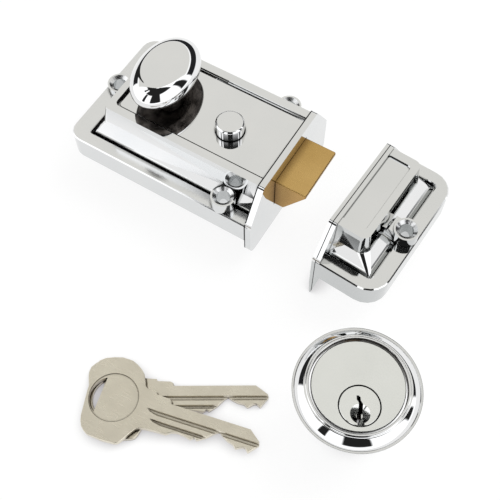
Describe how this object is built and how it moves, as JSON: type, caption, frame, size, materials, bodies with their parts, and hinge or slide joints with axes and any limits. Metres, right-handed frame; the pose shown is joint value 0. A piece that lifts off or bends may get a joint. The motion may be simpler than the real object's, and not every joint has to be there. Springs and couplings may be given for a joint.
{
  "type": "rim night latch",
  "caption": "Chrome rim night latch: cast case with a sprung brass latch bolt, oval knob and snib button, with its keep, a ringed rim cylinder and crossed keys.",
  "frame": {"origin": "middle of the case's mounting face, on the outer face of the back plate that closes the case against the door", "axes": "+X out of the bolt end towards the keep, +Z away from the door, +Y across the case"},
  "size_m": [0.1837, 0.1632, 0.0597],
  "materials": {
    "chrome": "polished chrome plate on die-cast zinc",
    "satin_chrome": "satin chrome plate on brass",
    "brass": "plain machined brass",
    "nickel": "nickel silver, softly brushed",
    "steel": "zinc-plated pressed and turned steel",
    "spring_steel": "bare spring wire"
  },
  "bodies": {
    "case": {"case_body": "chrome", "back_plate": "steel", "back_plate_screw_1": "steel", "back_plate_screw_2": "steel", "back_plate_screw_3": "steel", "spindle_bush": "brass", "snib_cage": "steel", "spring_rod_1": "steel", "spring_rod_2": "steel", "bolt_spring_1": "spring_steel", "bolt_spring_2": "spring_steel", "snib_spring": "spring_steel"},
    "bolt": {"latch_bolt": "brass", "bolt_tail": "steel", "bolt_pin_1": "steel", "bolt_pin_2": "steel"},
    "knob": {"knob_head": "chrome", "knob_stem": "chrome", "knob_spindle": "steel", "spindle_clip": "spring_steel", "retractor_cam": "steel"},
    "follower": {"rear_follower": "brass"},
    "snib": {"snib_button": "chrome", "snib_plunger": "steel", "snib_clip": "spring_steel"},
    "keep": {"keep_body": "chrome"},
    "cylinder": {"cylinder_body": "satin_chrome", "cylinder_ring": "chrome", "chamber_cover": "brass", "retainer_plate": "steel", "retainer_screw_1": "steel", "retainer_screw_2": "steel", "driver_pin_1": "brass", "driver_pin_2": "brass", "driver_pin_3": "brass", "driver_pin_4": "brass", "driver_pin_5": "brass", "driver_pin_6": "brass", "pin_spring_1": "spring_steel", "pin_spring_2": "spring_steel", "pin_spring_3": "spring_steel", "pin_spring_4": "spring_steel", "pin_spring_5": "spring_steel", "pin_spring_6": "spring_steel"},
    "plug": {"cylinder_plug": "satin_chrome", "tail_bar": "steel", "key_pin_1": "brass", "key_pin_2": "brass", "key_pin_3": "brass", "key_pin_4": "brass", "key_pin_5": "brass", "key_pin_6": "brass"},
    "lower_key": {"key_2": "nickel"},
    "upper_key": {"key_1": "nickel"}
  },
  "joints": [
    {"name": "knob_turn", "type": "hinge", "parent": "case", "child": "knob", "pos_m": [-0.0142, 0.0008, 0], "axis": [0, 0, -1], "range_deg": [0, 70.5]},
    {"name": "bolt_slide", "type": "slide", "parent": "case", "child": "bolt", "axis": [-1, 0, 0], "range_m": [0, 0.014], "stiffness_N_per_m": 500, "springref_m": -0.008, "deforming": ["bolt_spring_1", "bolt_spring_2"]},
    {"name": "follower_turn", "type": "hinge", "parent": "case", "child": "follower", "pos_m": [-0.0142, 0.0008, 0], "axis": [0, 0, -1], "range_deg": [0, 70.5]},
    {"name": "snib_press", "type": "slide", "parent": "case", "child": "snib", "axis": [0, 0, -1], "range_m": [0, 0.003], "stiffness_N_per_m": 600, "springref_m": -0.001, "deforming": ["snib_spring"]},
    {"name": "keep_lift", "type": "slide", "parent": "case", "child": "keep", "axis": [0, 0, 1], "range_m": [0, 0.04]},
    {"name": "cylinder_lift", "type": "slide", "parent": "case", "child": "cylinder", "axis": [0, 0, 1], "range_m": [0, 0.05]},
    {"name": "plug_turn", "type": "hinge", "parent": "cylinder", "child": "plug", "pos_m": [0.11813, -0.07753, 0.022], "axis": [0, 0, 1], "continuous": true},
    {"name": "lower_key_lift", "type": "slide", "parent": "case", "child": "lower_key", "axis": [0, 0, 1], "range_m": [0, 0.03]},
    {"name": "upper_key_lift", "type": "slide", "parent": "lower_key", "child": "upper_key", "axis": [0, 0, 1], "range_m": [0, 0.03]}
  ],
  "couplings": [
    {"joint": "knob_turn", "follows": "bolt_slide", "rad_per_m": 87.266},
    {"joint": "follower_turn", "follows": "bolt_slide", "rad_per_m": 87.266}
  ]
}
